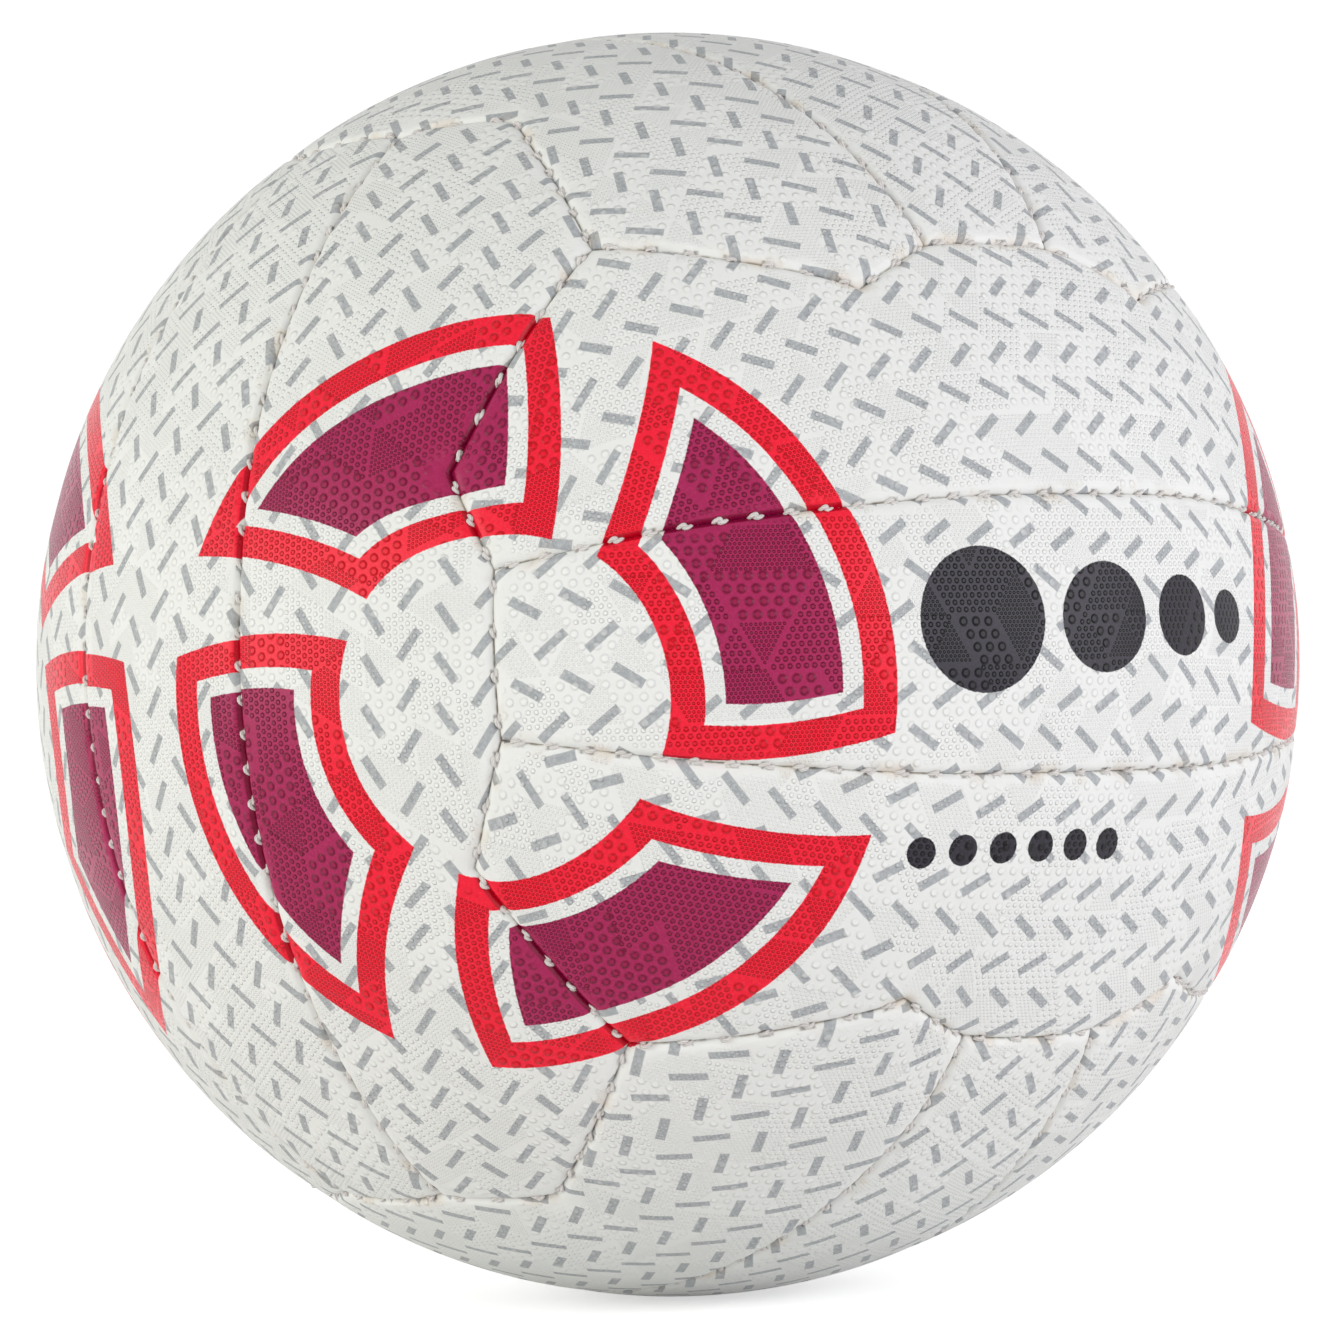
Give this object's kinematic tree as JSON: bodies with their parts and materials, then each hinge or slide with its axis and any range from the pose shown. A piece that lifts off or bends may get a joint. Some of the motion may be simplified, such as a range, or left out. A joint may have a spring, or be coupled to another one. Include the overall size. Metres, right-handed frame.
{
  "type": "netball",
  "caption": "Inflated netball with a stitched, pimpled grip cover over a fabric lining, a rubber bladder and a needle valve with a removable insert.",
  "frame": {"origin": "centre of the ball", "axes": "+Z out through the valve; the panels of the front face, -Y, run along X, those of the left and right faces along Z, and those of the top and bottom faces along Y"},
  "size_m": [0.222, 0.222, 0.2219],
  "materials": {
    "cover": "matte",
    "lining": "matte",
    "thread": "matte",
    "bladder": "satin",
    "valve_rubber": "satin",
    "insert_rubber": "matte",
    "patch": "matte"
  },
  "bodies": {
    "ball": {"front_upper_cover": "cover", "front_lower_cover": "cover", "back_upper_cover": "cover", "back_lower_cover": "cover", "bottom_right_cover": "cover", "bottom_left_cover": "cover", "top_right_cover": "cover", "top_left_cover": "cover", "left_back_cover": "cover", "left_front_cover": "cover", "right_front_cover": "cover", "right_back_cover": "cover", "front_middle_cover": "cover", "back_middle_cover": "cover", "bottom_middle_cover": "cover", "top_middle_cover": "cover", "left_middle_cover": "cover", "right_middle_cover": "cover", "front_upper_lining": "lining", "front_lower_lining": "lining", "back_upper_lining": "lining", "back_lower_lining": "lining", "bottom_right_lining": "lining", "bottom_left_lining": "lining", "top_right_lining": "lining", "top_left_lining": "lining", "left_back_lining": "lining", "left_front_lining": "lining", "right_front_lining": "lining", "right_back_lining": "lining", "front_middle_lining": "lining", "back_middle_lining": "lining", "bottom_middle_lining": "lining", "top_middle_lining": "lining", "left_middle_lining": "lining", "right_middle_lining": "lining", "front_left_thread": "thread", "front_right_thread": "thread", "back_right_thread": "thread", "back_left_thread": "thread", "bottom_front_thread": "thread", "bottom_back_thread": "thread", "top_back_thread": "thread", "top_front_thread": "thread", "left_bottom_thread": "thread", "left_top_thread": "thread", "right_bottom_thread": "thread", "right_top_thread": "thread", "front_inner_thread": "thread", "back_inner_thread": "thread", "bottom_inner_thread": "thread", "top_inner_thread": "thread", "left_inner_thread": "thread", "right_inner_thread": "thread", "bladder": "bladder", "valve_body": "valve_rubber", "valve_patch": "patch"},
    "insert": {"valve_insert": "insert_rubber"}
  },
  "joints": [
    {"name": "insert_pull", "type": "slide", "parent": "ball", "child": "insert", "axis": [0, 0, 1], "range_m": [0, 0.022]}
  ]
}
